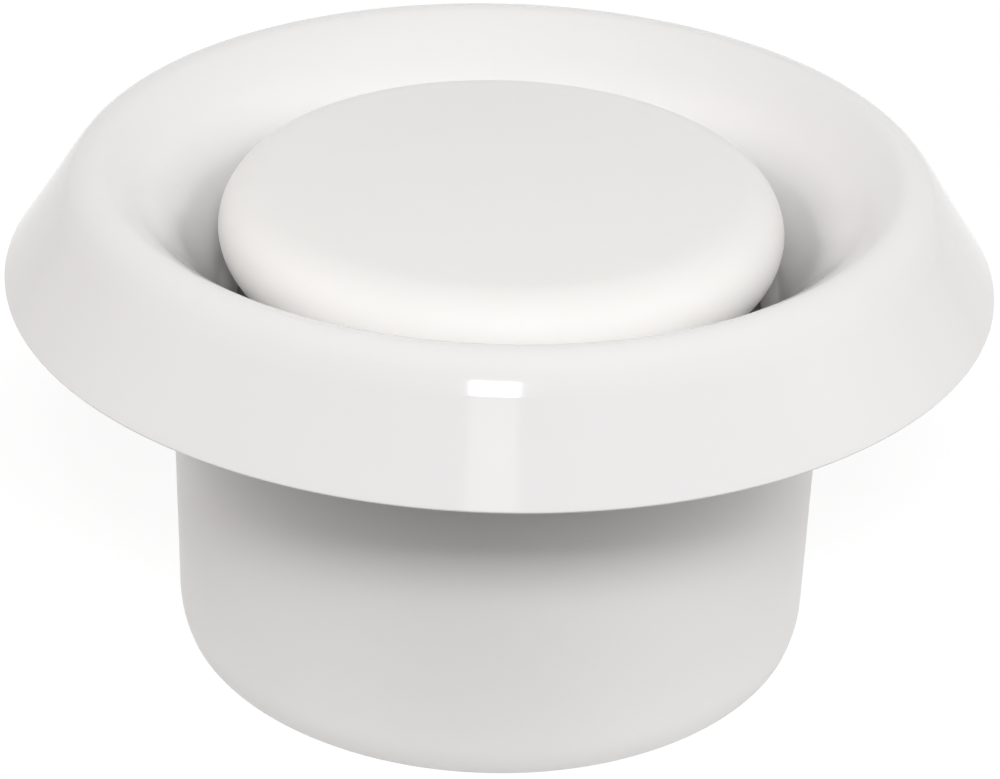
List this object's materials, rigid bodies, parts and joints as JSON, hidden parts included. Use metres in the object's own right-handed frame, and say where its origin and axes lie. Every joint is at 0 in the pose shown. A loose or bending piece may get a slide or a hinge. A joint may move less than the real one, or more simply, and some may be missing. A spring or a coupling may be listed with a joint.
{
  "type": "ventilation disc valve",
  "caption": "Round ventilation disc valve: conical rim with a bell mouth, an adjustable disc on a threaded spindle, and a plain duct collar behind.",
  "frame": {"origin": "centre of the collar's open end, on the axis of the valve", "axes": "+Z along the axis, out of the duct into the room; +Y points along one arm of the bridge"},
  "size_m": [0.147, 0.147, 0.0764],
  "materials": {
    "white_gloss_plastic": "gloss",
    "white_satin_plastic": "satin gloss",
    "grey_white_plastic": "satin",
    "grey_foam": "matte foam",
    "zinc_plated_steel": "bright zinc plate"
  },
  "bodies": {
    "valve_body": {"valve_ring": "white_gloss_plastic", "duct_collar": "grey_white_plastic", "wall_gasket": "grey_foam", "hub_nut": "zinc_plated_steel", "lock_washer": "zinc_plated_steel", "lock_nut": "zinc_plated_steel"},
    "spindle_body": {"spindle": "zinc_plated_steel"},
    "disc_body": {"control_disc": "white_satin_plastic", "disc_washer": "zinc_plated_steel", "disc_nut": "zinc_plated_steel"}
  },
  "joints": [
    {"name": "disc_travel", "type": "slide", "parent": "valve_body", "child": "spindle_body", "axis": [0, 0, 1], "range_m": [-0.00625, 0.01]},
    {"name": "disc_turn", "type": "hinge", "parent": "spindle_body", "child": "disc_body", "pos_m": [0, 0, 0.065], "axis": [0, 0, 1], "range_deg": [-1800, 2880]}
  ],
  "couplings": [
    {"joint": "disc_travel", "follows": "disc_turn", "m_per_rad": 0.00019894}
  ]
}
